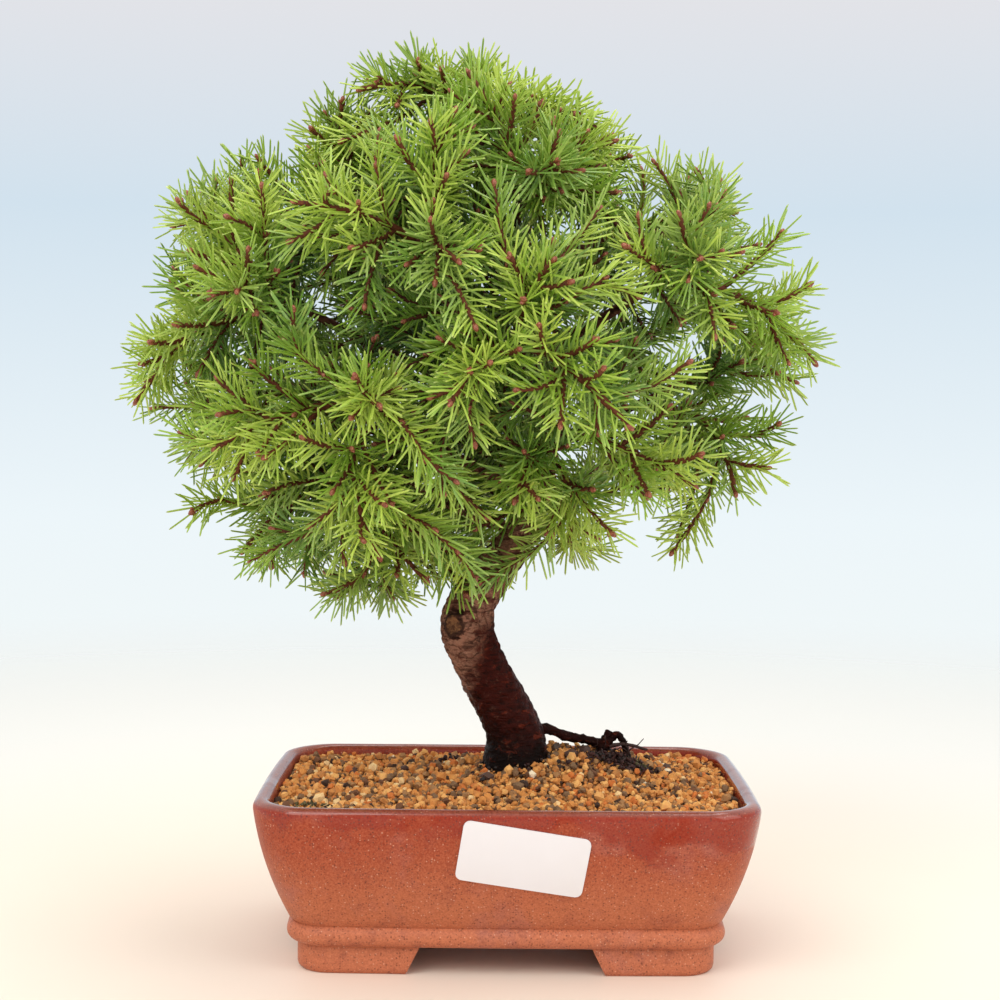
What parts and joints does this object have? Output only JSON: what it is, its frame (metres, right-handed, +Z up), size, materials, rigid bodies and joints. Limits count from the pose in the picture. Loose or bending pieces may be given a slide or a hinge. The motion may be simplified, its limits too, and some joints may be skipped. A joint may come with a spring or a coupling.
{
  "type": "potted spruce bonsai",
  "caption": "Small spruce trained as a bonsai, with a bent bare trunk under a round crown of needles, in a rectangular glazed pot with corner feet.",
  "frame": {"origin": "on the ground, under the middle of the whole object's bounding box", "axes": "+Z up along the tree's height, +Y from the pot's labelled front to its back, +X to the right seen from the front"},
  "size_m": [0.2663, 0.2052, 0.3406],
  "materials": {
    "glaze": "semi-gloss reddish brown with fine speckles",
    "grit": "loose ochre grains, matte",
    "bark": "dark reddish-brown bark, matte",
    "needles": "fresh green, satin",
    "mesh": "black, matte",
    "paper": "white, satin"
  },
  "bodies": {
    "root": {"pot": "glaze", "screen_left": "mesh", "screen_right": "mesh", "soil": "grit", "tree": "bark", "label": "paper", "spray_00": "needles", "spray_01": "needles", "spray_02": "needles", "spray_03": "needles", "spray_04": "needles", "spray_05": "needles", "spray_06": "needles", "spray_07": "needles", "spray_08": "needles", "spray_09": "needles", "spray_10": "needles", "spray_11": "needles", "spray_12": "needles", "spray_13": "needles", "spray_14": "needles", "spray_15": "needles", "spray_16": "needles", "spray_17": "needles", "spray_18": "needles", "spray_19": "needles", "spray_20": "needles", "spray_21": "needles", "spray_22": "needles", "spray_23": "needles", "spray_24": "needles", "spray_25": "needles", "spray_26": "needles", "spray_27": "needles", "spray_28": "needles", "spray_29": "needles", "spray_30": "needles", "spray_31": "needles", "spray_32": "needles", "spray_33": "needles", "spray_34": "needles", "spray_35": "needles", "spray_36": "needles", "spray_37": "needles", "spray_38": "needles", "spray_39": "needles", "spray_40": "needles", "spray_41": "needles", "spray_42": "needles", "spray_43": "needles", "spray_44": "needles", "spray_45": "needles", "spray_46": "needles", "spray_47": "needles", "spray_48": "needles"}
  },
  "joints": []
}
